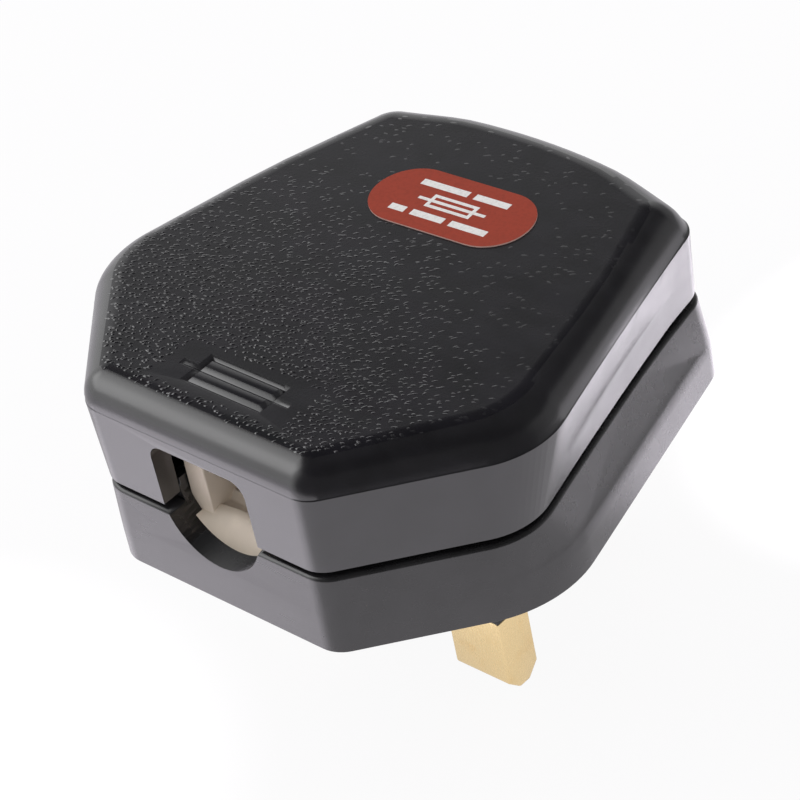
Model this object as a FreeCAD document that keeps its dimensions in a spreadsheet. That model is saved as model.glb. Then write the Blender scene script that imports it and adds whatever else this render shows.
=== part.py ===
import FreeCAD, Part
import math
import os
import re
from Sketcher import Constraint

# A rewirable three pin plug in millimetres. The pin face is z = 0 and the pins point down,
# the origin lies midway between the two line pins, the earth pin is towards +Y,
# the cable leaves at -Y and the live pin is at +X.

SIZES = {
    # Heights above the pin face
    "flange_top": (3.4, "top of the upright flange of the base"),
    "base_top": (8.2, "rim of the base"),
    "shadow_gap": (0.75, "open line between base and cover"),
    "brow_level": (16.9, "widest line of the cover"),
    "cover_top": (20.15, "flat top of the cover"),
    # Outline of the base at the pin face
    "foot_front": (19.2, "cable face from the pin line"),
    "foot_front_half": (12.6, "half width of the cable face"),
    "foot_shoulder_half": (25.75, "half width at the shoulders"),
    "foot_shoulder_front": (4.5, "shoulders before the pin line"),
    "foot_far_half": (17.3, "half width at the far corners"),
    "foot_far": (28.2, "far corners behind the pin line"),
    "foot_end": (30.6, "middle of the far end"),
    "foot_shoulder_round": (11.5, "round of the shoulders"),
    # Outline at the waist, where base and cover meet
    "waist_front": (19.05, "cable face from the pin line"),
    "waist_front_half": (12.57, "half width of the cable face"),
    "waist_shoulder_half": (24.75, "half width at the shoulders"),
    "waist_shoulder_front": (5.5, "shoulders before the pin line"),
    "waist_far_half": (16.2, "half width at the far corners"),
    "waist_far": (28.0, "far corners behind the pin line"),
    "waist_end": (30.3, "middle of the far end"),
    "waist_shoulder_round": (6.5, "round of the shoulders"),
    # Outline of the cover at its widest line
    "brow_front": (19.2, "cable face from the pin line"),
    "brow_front_half": (13.0, "half width of the cable face"),
    "brow_shoulder_half": (26.4, "half width at the shoulders"),
    "brow_shoulder_front": (4.3, "shoulders before the pin line"),
    "brow_far_half": (18.0, "half width at the far corners"),
    "brow_far": (26.85, "far corners behind the pin line"),
    "brow_end": (29.4, "middle of the far end"),
    "brow_shoulder_round": (8.5, "round of the shoulders"),
    # Rounds that all outlines share
    "front_round": (3.2, "round of the front corners"),
    "far_round": (3.4, "round of the far corners"),
    "grip_bow": (515.0, "radius of the hollow finger grips in plan"),
    "rim_round": (3.05, "round of the cover's rim"),
    "foot_bevel": (0.12, "bevel of the base's lower edge"),
    # Walls
    "cover_wall": (2.0, "side wall of the cover"),
    "cover_roof": (2.2, "top wall of the cover"),
    "base_wall": (3.0, "side wall of the base"),
    "base_floor": (3.0, "floor of the base"),
    "tongue_rise": (2.0, "tongue of the base inside the cover"),
    "rib_wall": (1.2, "ribs inside both shells"),
    "slip_fit": (0.1, "play between parts that slide together"),
    "close_fit": (0.03, "play between parts that are pressed together"),
    # Cable entry and cord grip
    "entry_round": (5.75, "round of the entry in the base"),
    "entry_centre": (10.1, "height of its centre"),
    "entry_half": (5.6, "half width of the entry in the cover"),
    "entry_top": (15.8, "top of the entry in the cover"),
    "entry_corner": (1.6, "round of its upper corners"),
    "grip_front": (16.0, "front of the cord grip before the pin line"),
    "grip_back": (7.6, "back of the cord grip before the pin line"),
    "grip_half": (5.6, "half width of the cord grip"),
    "grip_wall": (2.4, "walls of the cord grip"),
    "grip_bottom": (5.5, "underside of the cord grip"),
    "grip_floor": (6.7, "floor of its channel"),
    "grip_top": (13.4, "top of its walls"),
    "grip_edge": (0.4, "bevel of its upper edges"),
    "tooth_rise": (0.7, "height of the gripping teeth"),
    "tooth_pitch": (2.2, "distance between the gripping teeth"),
    # Pins
    "pin_spread": (11.11, "line pins from the middle"),
    "pin_width": (6.35, "width of the line pins"),
    "pin_thick": (4.0, "thickness of the line pins"),
    "pin_length": (17.7, "length of the line pins"),
    "sleeve_length": (9.2, "sleeve below the pin face"),
    "sleeve_wall": (0.4, "wall of the sleeve"),
    "earth_place": (22.23, "earth pin behind the pin line"),
    "earth_width": (4.0, "width of the earth pin"),
    "earth_depth": (7.95, "depth of the earth pin"),
    "earth_length": (22.73, "length of the earth pin"),
    "tip_chamfer": (1.35, "chamfers of the pin tips"),
    # Terminal blocks and their screws
    "block_width": (7.0, "width of the pin heads"),
    "block_rise": (9.0, "height of the terminal blocks"),
    "block_edge": (0.4, "chamfer of the terminal blocks"),
    "wire_hole": (3.2, "bore for the wire"),
    "wire_level": (3.2, "bore above the foot of the block"),
    "thread_hole": (3.0, "bore for the clamping screw"),
    "screw_rise": (1.8, "clamping screw above the block"),
    "screw_reach": (4.4, "clamping screw inside the block"),
    "slot_width": (0.8, "screwdriver slot"),
    "slot_depth": (0.9, "depth of the slot"),
    # Fuse
    "fuse_length": (25.4, "length of the fuse"),
    "fuse_round": (3.175, "radius of its caps"),
    "fuse_level": (9.0, "height of its axis"),
    "fuse_middle": (4.95, "its middle behind the pin line"),
    "cap_length": (5.5, "length of the caps"),
    "cap_wall": (0.35, "wall of the caps"),
    "tube_wall": (1.1, "wall of the ceramic tube"),
    "strip_width": (0.8, "width of the element"),
    "strip_thick": (0.2, "thickness of the element"),
    # Clips
    "clip_wall": (0.5, "sheet of the clips"),
    "clip_width": (5.0, "length of the clips along the fuse"),
    "clip_mouth": (4.4, "open top of the clips"),
    "clip_lip": (0.5, "flared lips of the clips"),
    "strap_half": (2.6, "half width of the straps under the clips"),
    "live_block_gap": (0.55, "open space between fuse and live terminal"),
    "live_block_side": (10.2, "live terminal from the middle"),
    "live_block_width": (6.0, "width of the live terminal"),
    "live_block_rise": (7.2, "height of the live terminal"),
    # Cover screw
    "lock_place": (9.5, "cover screw behind the pin line"),
    "lock_shank": (1.75, "radius of its shank"),
    "lock_head": (2.9, "radius of its head"),
    "lock_head_rise": (1.9, "height of its head"),
    "lock_sink": (0.5, "head below the pin face"),
    "lock_end": (14.2, "end of the screw"),
    "boss_round": (4.2, "radius of both bosses"),
    "washer_round": (3.1, "radius of the washer"),
    "washer_thick": (0.7, "thickness of the washer"),
    "insert_round": (2.7, "radius of the insert"),
    "insert_length": (6.4, "length of the insert"),
    # Label
    "label_half": (8.48, "half length of the label"),
    "label_round": (4.03, "round of the label's ends"),
    "label_place": (15.54, "label behind the pin line"),
    "label_turn": (3.7, "turn of the label in degrees"),
    "label_thick": (0.15, "thickness of the label"),
}

NODES = (
    "cover", "base", "cord_grip",
    "live_pin", "live_pin_sleeve", "neutral_pin", "neutral_pin_sleeve", "earth_pin",
    "live_terminal", "live_terminal_screw", "neutral_terminal_screw", "earth_terminal_screw",
    "front_fuse_clip", "rear_fuse_clip",
    "fuse_tube", "front_fuse_cap", "rear_fuse_cap", "fuse_strip",
    "cover_screw", "cover_insert", "screw_washer", "rating_label",
)

doc = FreeCAD.newDocument("three_pin_plug")
sheet = doc.addObject("Spreadsheet::Sheet", "Sizes")
for row, (alias, (value, note)) in enumerate(SIZES.items(), start=1):
    sheet.set("A%d" % row, note)
    sheet.set("B%d" % row, str(value))
    sheet.setAlias("B%d" % row, alias)
doc.recompute()


def in_sheet(text):
    """Put the sheet's name before every size in an expression."""
    def named(word):
        return "Sizes." + word.group(0) if word.group(0) in SIZES else word.group(0)
    return re.sub(r"[a-z_]+", named, str(text))


def value_of(text):
    """Work out an expression of sizes as a plain number."""
    return float(sheet.evalExpression(in_sheet(text)))


def bind(item, **places):
    """Bind properties of an object to expressions, with two underscores for a dot."""
    for name, text in places.items():
        item.setExpression(name.replace("__", "."), in_sheet(text))


# Places that follow from the fuse
STRAP_TOP = "fuse_level - fuse_round - close_fit"
HEAD_RISE = STRAP_TOP + " - clip_wall - base_floor"
FUSE_FRONT = "fuse_middle - fuse_length / 2"
FUSE_REAR = "fuse_middle + fuse_length / 2"
LIVE_BLOCK_START = FUSE_REAR + " + live_block_gap"
LIVE_BLOCK_PLACE = LIVE_BLOCK_START + " + live_block_width / 2"
LIVE_BLOCK_END = LIVE_BLOCK_START + " + live_block_width"


# Building blocks

def new_body(label):
    body = doc.addObject("PartDesign::Body", label)
    body.Label = label
    return body


def origin_item(body, role):
    return next(item for item in body.Origin.OriginFeatures if item.Role == role)


def new_sketch(body, name, plane="XY_Plane", offset="0"):
    """A sketch on one of the body's own planes, moved along the plane's normal."""
    sketch = body.newObject("Sketcher::SketchObject", name)
    sketch.AttachmentSupport = [(origin_item(body, plane), "")]
    sketch.MapMode = "FlatFace"
    bind(sketch, AttachmentOffset__Base__z=offset)
    return sketch


def place_point(sketch, item, end, axis, text):
    """Dimension one coordinate of a point from the sketch's origin."""
    number = value_of(text)
    if abs(number) < 1e-9:
        sketch.addConstraint(Constraint("PointOnObject", item, end, -2 if axis == "X" else -1))
        return
    if number > 0:
        ends, amount = (-1, 1, item, end), in_sheet(text)
    else:
        ends, amount = (item, end, -1, 1), "-(%s)" % in_sheet(text)
    index = sketch.addConstraint(Constraint("Distance" + axis, *ends, abs(number)))
    sketch.setExpression("Constraints[%d]" % index, amount)


def draw_polygon(sketch, points):
    """A closed outline of straight lines with every corner dimensioned."""
    places = [FreeCAD.Vector(value_of(x), value_of(y), 0) for x, y in points]
    count = len(places)
    for index in range(count):
        sketch.addGeometry(Part.LineSegment(places[index], places[(index + 1) % count]))
    for index in range(count):
        sketch.addConstraint(Constraint("Coincident", index, 2, (index + 1) % count, 1))
    for index, (x, y) in enumerate(points):
        place_point(sketch, index, 1, "X", x)
        place_point(sketch, index, 1, "Y", y)


def draw_rectangle(sketch, x_half, y_half):
    draw_polygon(sketch, [
        ("-" + x_half, "-" + y_half), (x_half, "-" + y_half), (x_half, y_half), ("-" + x_half, y_half),
    ])


def add_pad(body, sketch, length, down=False):
    pad = body.newObject("PartDesign::Pad", sketch.Name + "_pad")
    pad.Profile = sketch
    pad.Reversed = down
    bind(pad, Length=length)
    return pad


def add_pocket(body, sketch, depth):
    pocket = body.newObject("PartDesign::Pocket", sketch.Name + "_pocket")
    pocket.Profile = sketch
    bind(pocket, Length=depth)
    return pocket


def add_loft(body, lower, upper):
    loft = body.newObject("PartDesign::AdditiveLoft", lower.Name + "_loft")
    loft.Profile = lower
    loft.Sections = [(upper, [""])]
    loft.Ruled = True
    return loft


def add_turning(body, sketch):
    """Turn a profile of the XZ plane round the vertical axis."""
    turning = body.newObject("PartDesign::Revolution", sketch.Name + "_turning")
    turning.Profile = sketch
    turning.ReferenceAxis = (sketch, ["V_Axis"])
    turning.Angle = 360
    return turning


def edges_where(feature, test):
    return ["Edge%d" % (number + 1) for number, edge in enumerate(feature.Shape.Edges) if test(edge)]


def soften(body, feature, kind, size, test):
    """Round ("Fillet") or bevel ("Chamfer") the edges of a feature that pass the test."""
    doc.recompute()
    finish = body.newObject("PartDesign::" + kind, feature.Name + "_" + kind.lower())
    finish.Base = (feature, edges_where(feature, test))
    bind(finish, **{"Radius" if kind == "Fillet" else "Size": size})
    return finish


def lies_at(level):
    """Test for edges that lie in one level plane."""
    height = value_of(level)
    return lambda edge: max(abs(edge.BoundBox.ZMin - height), abs(edge.BoundBox.ZMax - height)) < 1e-4


def place(item, x="0", y="0", z="0"):
    bind(item, Placement__Base__x=x, Placement__Base__y=y, Placement__Base__z=z)
    return item


def block(name, x, y, z):
    """A box between pairs of low and high expressions."""
    item = doc.addObject("Part::Box", name)
    for side, (low, high) in (("Length", x), ("Width", y), ("Height", z)):
        item.setExpression(side, in_sheet("(%s) - (%s)" % (high, low)))
    return place(item, x[0], y[0], z[0])


TURNS = {
    "X": FreeCAD.Rotation(FreeCAD.Vector(0, 1, 0), 90),
    "Y": FreeCAD.Rotation(FreeCAD.Vector(1, 0, 0), -90),
    "Z": FreeCAD.Rotation(),
}


def rod(name, radius, length, x="0", y="0", z="0", along="Z"):
    """A cylinder that starts at a point and runs along one axis."""
    item = doc.addObject("Part::Cylinder", name)
    item.Placement = FreeCAD.Placement(FreeCAD.Vector(), TURNS[along])
    bind(item, Radius=radius, Height=length)
    return place(item, x, y, z)


def join(name, *items):
    item = doc.addObject("Part::MultiFuse", name)
    item.Shapes = list(items)
    item.Refine = True
    return item


def cut(name, base, *tools):
    """Cut one or more tools from a base."""
    item = doc.addObject("Part::Cut", name)
    item.Label = name
    item.Base = base
    item.Tool = tools[0] if len(tools) == 1 else join(name + "_tools", *tools)
    item.Refine = True
    return item


# Plan outlines

def corner_arc(before, corner, after, radius):
    """The round between two straight lines that meet in a corner."""
    back = (before - corner).normalize()
    ahead = (after - corner).normalize()
    half_angle = back.getAngle(ahead) / 2
    middle = corner + (back + ahead).normalize() * (radius / math.sin(half_angle))
    reach = radius / math.tan(half_angle)
    start, end = corner + back * reach - middle, corner + ahead * reach - middle
    circle = Part.Circle(middle, FreeCAD.Vector(0, 0, 1), radius)
    return Part.ArcOfCircle(circle, math.atan2(start.y, start.x), math.atan2(end.y, end.x))


def bowed_side(start, end, radius):
    """A side that is hollow towards its outside, which lies right of the way from start to end."""
    along = end - start
    outward = FreeCAD.Vector(along.y, -along.x, 0).normalize()
    middle = (start + end) / 2 + outward * math.sqrt(radius ** 2 - along.Length ** 2 / 4)
    circle = Part.Circle(middle, FreeCAD.Vector(0, 0, 1), radius)
    first, last = end - middle, start - middle
    return Part.ArcOfCircle(circle, math.atan2(first.y, first.x), math.atan2(last.y, last.x))


def draw_outline(sketch, level, bowed):
    """The plan of the plug at one level: cable face, diagonals, sides and arched far end."""
    half = ["%s_%s_half" % (level, part) for part in ("front", "shoulder", "far")]
    back = ["-%s_front" % level, "-%s_shoulder_front" % level, "%s_far" % level]
    end = "%s_end" % level
    rounds = ["front_round", level + "_shoulder_round", "far_round"]
    right = [FreeCAD.Vector(value_of(x), value_of(y), 0) for x, y in zip(half, back)]
    left = [FreeCAD.Vector(-point.x, point.y, 0) for point in right]
    corners = right + left[::-1]
    radii = [value_of(name) for name in rounds + rounds[::-1]]
    count = len(corners)

    # The far end is an arc through both far corners and the middle of the end
    rise = value_of(end) - right[2].y
    end_radius = (right[2].x ** 2 + rise ** 2) / (2 * rise)
    end_middle = FreeCAD.Vector(0, value_of(end) - end_radius, 0)
    swing = math.asin(right[2].x / end_radius)
    quarter = math.pi / 2

    arcs = [
        corner_arc(corners[index - 1], corners[index], corners[(index + 1) % count], radii[index])
        for index in range(count)
    ]
    sides = []
    for index in range(count):
        start, stop = arcs[index].EndPoint, arcs[(index + 1) % count].StartPoint
        if index == 2:
            circle = Part.Circle(end_middle, FreeCAD.Vector(0, 0, 1), end_radius)
            sides.append(Part.ArcOfCircle(circle, quarter - swing, quarter + swing))
        elif bowed and index in (1, 3):
            sides.append(bowed_side(start, stop, value_of("grip_bow")))
        else:
            sides.append(Part.LineSegment(start, stop))
    for arc, side in zip(arcs, sides):
        sketch.addGeometry(arc)
        sketch.addGeometry(side)
    points = [sketch.addGeometry(Part.Point(corner), True) for corner in corners]
    top = sketch.addGeometry(Part.Point(FreeCAD.Vector(0, value_of(end), 0)), True)

    for index in range(count):
        side, arc = 2 * index + 1, 2 * index
        following = (2 * index + 2) % (2 * count)
        hollow = bowed and index in (1, 3)
        sketch.addConstraint(Constraint("Tangent", arc, 2, side, 2 if hollow else 1))
        sketch.addConstraint(Constraint("Tangent", side, 1 if hollow else 2, following, 1))
        sketch.addConstraint(Constraint("PointOnObject", points[index], 1, side))
        sketch.addConstraint(Constraint("PointOnObject", points[(index + 1) % count], 1, side))
        number = sketch.addConstraint(Constraint("Radius", arc, radii[index]))
        sketch.setExpression("Constraints[%d]" % number, in_sheet((rounds + rounds[::-1])[index]))
        if hollow:
            number = sketch.addConstraint(Constraint("Radius", side, value_of("grip_bow")))
            sketch.setExpression("Constraints[%d]" % number, in_sheet("grip_bow"))
    for index, (x, y) in enumerate(zip(half, back)):
        place_point(sketch, points[index], 1, "X", x)
        place_point(sketch, points[index], 1, "Y", y)
        sketch.addConstraint(Constraint("Symmetric", points[index], 1, points[count - 1 - index], 1, -2))
    sketch.addConstraint(Constraint("PointOnObject", top, 1, 5))
    place_point(sketch, top, 1, "X", "0")
    place_point(sketch, top, 1, "Y", end)


def plan_sketch(body, name, level, offset, bowed):
    sketch = new_sketch(body, name, offset=offset)
    draw_outline(sketch, level, bowed)
    return sketch


waist_plan = doc.addObject("Sketcher::SketchObject", "waist_plan")
draw_polygon(waist_plan, [
    ("-waist_front_half", "-waist_front"), ("waist_front_half", "-waist_front"),
    ("waist_shoulder_half", "-waist_shoulder_front"), ("waist_far_half", "waist_far"), ("0", "waist_end"),
    ("-waist_far_half", "waist_far"), ("-waist_shoulder_half", "-waist_shoulder_front"),
])
place(waist_plan, z="base_top")


def inside_waist(name, inset, up, down):
    """A prism inside the corners of the waist, between heights measured from the rim of the base."""
    line = doc.addObject("Part::Offset2D", name + "_line")
    line.Source = waist_plan
    line.Join = "Intersection"
    bind(line, Value="-(%s)" % inset)
    prism = doc.addObject("Part::Extrusion", name)
    prism.Base = line
    prism.DirMode = "Custom"
    prism.Dir = FreeCAD.Vector(0, 0, 1)
    prism.Solid = True
    bind(prism, LengthFwd=up, LengthRev=down)
    return prism


# Cover

def make_cover():
    shell = new_body("cover_shell")
    rim = plan_sketch(shell, "cover_rim", "waist", "base_top + shadow_gap", True)
    brow = plan_sketch(shell, "cover_brow", "brow", "brow_level", True)
    add_loft(shell, rim, brow)
    crown = add_pad(shell, brow, "cover_top - brow_level")
    soften(shell, crown, "Fillet", "rim_round", lies_at("cover_top"))

    hollow = inside_waist("cover_hollow", "cover_wall", "cover_top - cover_roof - base_top", "0")
    entry = new_body("cover_entry")
    mouth = new_sketch(entry, "cover_mouth", plane="XZ_Plane", offset="grip_front - slip_fit")
    draw_polygon(mouth, [
        ("-entry_half", "base_top"), ("entry_half", "base_top"),
        ("entry_half", "entry_top"), ("-entry_half", "entry_top"),
    ])
    tunnel = add_pad(entry, mouth, "grip_front")
    soften(entry, tunnel, "Fillet", "entry_corner", lies_at("entry_top"))

    rib_bottom = "cover_top - cover_roof - 2 * cover_wall"
    rib_top = "cover_top - cover_roof / 2"
    rib_ends = ("-boss_round * 3", "boss_round * 3")
    boss = rod("cover_boss", "boss_round", rib_top + " - base_top", y="lock_place", z="base_top")
    cross_rib = block("cover_cross_rib", rib_ends,
                      ("lock_place - rib_wall / 2", "lock_place + rib_wall / 2"), (rib_bottom, rib_top))
    keel_rib = block("cover_keel_rib", ("-rib_wall / 2", "rib_wall / 2"),
                     ("-grip_back", "earth_place - block_width"), (rib_bottom, rib_top))
    cord_rib = block("cover_cord_rib", ("-entry_half", "entry_half"),
                     ("-grip_front + grip_wall", "-grip_front + grip_wall + rib_wall"),
                     ("grip_top + slip_fit", rib_top))
    walls = cut("cover_walls", shell, hollow, entry)
    solid = join("cover_solid", walls, boss, cross_rib, keel_rib, cord_rib)
    seat = rod("insert_seat", "insert_round", "insert_length + 1", y="lock_place", z="base_top - 1")
    return cut("cover", solid, seat)


# Base

def pin_slot(name, width, depth, x="0", y="0"):
    """A slot through the floor of the base for one pin."""
    return block(name, (x + " - (%s) / 2 - close_fit" % width, x + " + (%s) / 2 + close_fit" % width),
                 (y + " - (%s) / 2 - close_fit" % depth, y + " + (%s) / 2 + close_fit" % depth),
                 ("-1", "base_floor + 1"))


def make_base():
    shell = new_body("base_shell")
    foot = plan_sketch(shell, "base_foot", "foot", "0", False)
    flange = add_pad(shell, foot, "flange_top")
    crease = plan_sketch(shell, "base_crease", "foot", "flange_top", False)
    rim = plan_sketch(shell, "base_rim", "waist", "base_top", True)
    upper = add_loft(shell, crease, rim)
    soften(shell, upper, "Chamfer", "foot_bevel", lies_at("0"))

    hollow = inside_waist("base_hollow", "base_wall", "tongue_rise + 1", "base_top - base_floor")
    tongue = inside_waist("base_tongue", "cover_wall + slip_fit", "tongue_rise", "slip_fit")
    entry = rod("base_entry", "entry_round", "grip_front", y="-2 * grip_front + slip_fit",
                z="entry_centre", along="Y")
    walls = cut("base_walls", join("base_rims", shell, tongue), hollow, entry)

    low = "base_floor - 1"
    grip_room = "grip_half + slip_fit"
    strap_low = STRAP_TOP + " - clip_wall"
    clip_side = "fuse_round + close_fit + clip_wall + slip_fit"
    boss = rod("base_boss", "boss_round", "base_top - washer_thick - (%s)" % low, y="lock_place", z=low)
    grip_seat = block("grip_seat", ("-(%s)" % grip_room, grip_room),
                      ("-grip_front - slip_fit", "-grip_back"), (low, "grip_bottom"))
    ribs = []
    for side, (inner, outer) in (("left", ("-(%s) - rib_wall" % grip_room, "-(%s)" % grip_room)),
                                 ("right", (grip_room, "%s + rib_wall" % grip_room))):
        ribs.append(block("grip_rib_" + side, (inner, outer),
                          ("-grip_front - base_wall / 4", "-grip_back"), (low, "base_top + tongue_rise")))
    front_seat = block("front_clip_seat", ("pin_spread - strap_half", "pin_spread + strap_half"),
                       (FUSE_FRONT, "-block_width / 2 - slip_fit"), (low, strap_low))
    rear_seat = block("rear_clip_seat",
                      ("live_block_side - live_block_width / 2", "pin_spread + strap_half"),
                      (FUSE_REAR + " - cap_length", LIVE_BLOCK_END), (low, strap_low))
    fuse_rib = block("fuse_rib",
                     ("pin_spread - (%s) - rib_wall" % clip_side, "pin_spread - (%s)" % clip_side),
                     (FUSE_FRONT, FUSE_REAR + " - cap_length"), (low, "base_top"))
    solid = join("base_solid", walls, boss, grip_seat, *ribs, front_seat, rear_seat, fuse_rib)

    tools = [
        pin_slot("live_slot", "pin_width", "pin_thick", x="pin_spread"),
        pin_slot("neutral_slot", "pin_width", "pin_thick", x="-pin_spread"),
        pin_slot("earth_slot", "earth_width", "earth_depth", y="earth_place"),
        rod("base_screw_way", "lock_shank + slip_fit", "base_top + 2", y="lock_place", z="-1"),
        rod("head_sink", "lock_head + slip_fit", "lock_sink + lock_head_rise + 1", y="lock_place", z="-1"),
    ]
    return cut("base", solid, *tools)


# Cord grip

def make_cord_grip():
    body = new_body("cord_grip")
    section = new_sketch(body, "grip_section", plane="XZ_Plane", offset="grip_back")
    inner = "grip_half - grip_wall"
    draw_polygon(section, [
        ("-grip_half", "grip_bottom"), ("grip_half", "grip_bottom"),
        ("grip_half", "grip_top"), (inner, "grip_top"),
        (inner, "grip_floor"), ("-(%s)" % inner, "grip_floor"),
        ("-(%s)" % inner, "grip_top"), ("-grip_half", "grip_top"),
    ])
    channel = add_pad(body, section, "grip_front - grip_back")
    soften(body, channel, "Chamfer", "grip_edge", lies_at("grip_top"))
    tooth = new_sketch(body, "grip_tooth", plane="YZ_Plane", offset="-(%s)" % inner)
    first = "-grip_front + tooth_pitch"
    draw_polygon(tooth, [
        (first, "grip_floor"), (first + " + tooth_rise * 2", "grip_floor"),
        (first + " + tooth_rise", "grip_floor + tooth_rise"),
    ])
    ridge = add_pad(body, tooth, "2 * (%s)" % inner)
    row = body.newObject("PartDesign::LinearPattern", "grip_teeth")
    row.Originals = [ridge]
    row.Direction = (origin_item(body, "Y_Axis"), [""])
    row.Occurrences = 3
    bind(row, Length="2 * tooth_pitch")
    body.Tip = row
    return body


# Pins and terminals

def bevel_tip(body, shank, length, across):
    """Bevel the two wide sides of a pin at its end."""
    level = value_of("-(%s)" % length)

    def is_tip(edge):
        box = edge.BoundBox
        span = box.XLength if across == "X" else box.YLength
        return max(abs(box.ZMin - level), abs(box.ZMax - level)) < 1e-4 and span > 0.1
    return soften(body, shank, "Chamfer", "tip_chamfer", is_tip)


def make_line_pin(name, x, head_rise):
    """A line pin with a slim core under its sleeve and a head on the floor of the base."""
    body = new_body(name + "_blank")
    end = new_sketch(body, name + "_end", offset="-sleeve_length")
    draw_rectangle(end, "pin_width / 2", "pin_thick / 2")
    shank = add_pad(body, end, "pin_length - sleeve_length", down=True)
    bevel_tip(body, shank, "pin_length", "X")
    core = new_sketch(body, name + "_core", offset="-sleeve_length")
    draw_rectangle(core, "(pin_width / 2 - sleeve_wall)", "(pin_thick / 2 - sleeve_wall)")
    add_pad(body, core, "sleeve_length + base_floor")
    head = new_sketch(body, name + "_head", offset="base_floor")
    draw_rectangle(head, "block_width / 2", "block_width / 2")
    top = add_pad(body, head, head_rise)
    soften(body, top, "Chamfer", "block_edge", lies_at("base_floor + " + head_rise))
    place(body, x=x)
    return body


def wire_and_screw_holes(name, foot, rise, width, x="0", y="0", along="Y"):
    """The bore for the wire and the threaded bore for its screw, in one terminal block."""
    reach = "(%s) + 2" % width
    start = "-(%s) / 2" % reach
    level = "%s + wire_level" % foot
    if along == "Y":
        wire = rod(name + "_wire_hole", "wire_hole / 2", reach, x, "%s + %s" % (y, start), level, "Y")
    else:
        wire = rod(name + "_wire_hole", "wire_hole / 2", reach, "%s + %s" % (x, start), y, level, "X")
    screw = rod(name + "_thread", "thread_hole / 2", "%s - wire_level + 1" % rise, x, y, level)
    return wire, screw


def make_neutral_pin():
    blank = make_line_pin("neutral_pin", "-pin_spread", "block_rise")
    holes = wire_and_screw_holes("neutral", "base_floor", "block_rise", "block_width", x="-pin_spread")
    return cut("neutral_pin", blank, *holes)


def make_live_pin():
    body = make_line_pin("live_pin", "pin_spread", "(%s)" % HEAD_RISE)
    body.Label = "live_pin"
    return body


def make_earth_pin():
    body = new_body("earth_pin_blank")
    end = new_sketch(body, "earth_end", offset="base_floor")
    draw_rectangle(end, "earth_width / 2", "earth_depth / 2")
    shank = add_pad(body, end, "earth_length + base_floor", down=True)
    bevel_tip(body, shank, "earth_length", "Y")
    head = new_sketch(body, "earth_head", offset="base_floor")
    draw_rectangle(head, "block_width / 2", "block_width / 2")
    top = add_pad(body, head, "block_rise")
    soften(body, top, "Chamfer", "block_edge", lies_at("base_floor + block_rise"))
    place(body, y="earth_place")
    holes = wire_and_screw_holes("earth", "base_floor", "block_rise", "block_width", y="earth_place")
    return cut("earth_pin", body, *holes)


def make_sleeve(name, x):
    body = new_body(name)
    ring = new_sketch(body, name + "_ring", offset="-sleeve_length")
    draw_rectangle(ring, "pin_width / 2", "pin_thick / 2")
    add_pad(body, ring, "sleeve_length + base_floor")
    core = new_sketch(body, name + "_core", offset="base_floor")
    draw_rectangle(core, "(pin_width / 2 - sleeve_wall)", "(pin_thick / 2 - sleeve_wall)")
    add_pocket(body, core, "sleeve_length + base_floor")
    return place(body, x=x)


def make_live_terminal():
    body = new_body("live_terminal_blank")
    foot = new_sketch(body, "live_foot")
    draw_rectangle(foot, "live_block_width / 2", "live_block_width / 2")
    pillar = add_pad(body, foot, "live_block_rise")
    soften(body, pillar, "Chamfer", "block_edge", lies_at("live_block_rise"))
    place(body, "live_block_side", LIVE_BLOCK_PLACE, STRAP_TOP)
    holes = wire_and_screw_holes("live", STRAP_TOP, "live_block_rise", "live_block_width",
                                 "live_block_side", LIVE_BLOCK_PLACE, "X")
    return cut("live_terminal", body, *holes)


def make_terminal_screw(name, x, y, top):
    """A headless slotted clamping screw that stands out of the top of a terminal block."""
    body = new_body(name)
    profile = new_sketch(body, name + "_profile", plane="XZ_Plane")
    radius = "(thread_hole / 2 - close_fit)"
    draw_polygon(profile, [
        ("0", "-screw_reach"), (radius, "-screw_reach"), (radius, "screw_rise"), ("0", "screw_rise"),
    ])
    add_turning(body, profile)
    slot = new_sketch(body, name + "_slot", offset="screw_rise")
    draw_rectangle(slot, radius, "slot_width / 2")
    add_pocket(body, slot, "slot_depth")
    return place(body, x, y, top)


# Fuse and its clips

def bent_sheet(radius):
    """Right half of the bends round the fuse, up to the mouth: flats that touch a circle."""
    flat = "(%s) * (sqrt(2) - 1)" % radius
    return [(flat, "-(%s)" % radius), (radius, "-(%s)" % flat), (radius, flat)]


def make_clip(name, start, straps):
    """A spring clip of bent sheet round one cap, open at the top, on a flat strap."""
    body = new_body(name + "_spring")
    section = new_sketch(body, name + "_section", plane="XZ_Plane", offset="-(%s + clip_width)" % start)
    bore = "(fuse_round + close_fit)"
    mouth, lip = "clip_mouth / 2", "clip_mouth / 2 + clip_lip"
    bend = bore + " * sqrt(2) - " + mouth
    tip = bend + " + clip_lip"
    slant = "clip_wall * sqrt(2)"
    outside = bent_sheet("(fuse_round + close_fit + clip_wall)")
    outside += [("%s + %s" % (mouth, slant), bend), ("%s + %s" % (lip, slant), tip)]
    inside = [(lip, tip), (mouth, bend)] + bent_sheet(bore)[::-1]
    right = outside + inside
    left = [("-(%s)" % x, z) for x, z in right[::-1]]
    draw_polygon(section, right + left)
    add_pad(body, section, "clip_width")
    place(body, x="pin_spread", z="fuse_level")
    item = join(name, body, *straps)
    item.Label = name


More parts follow.
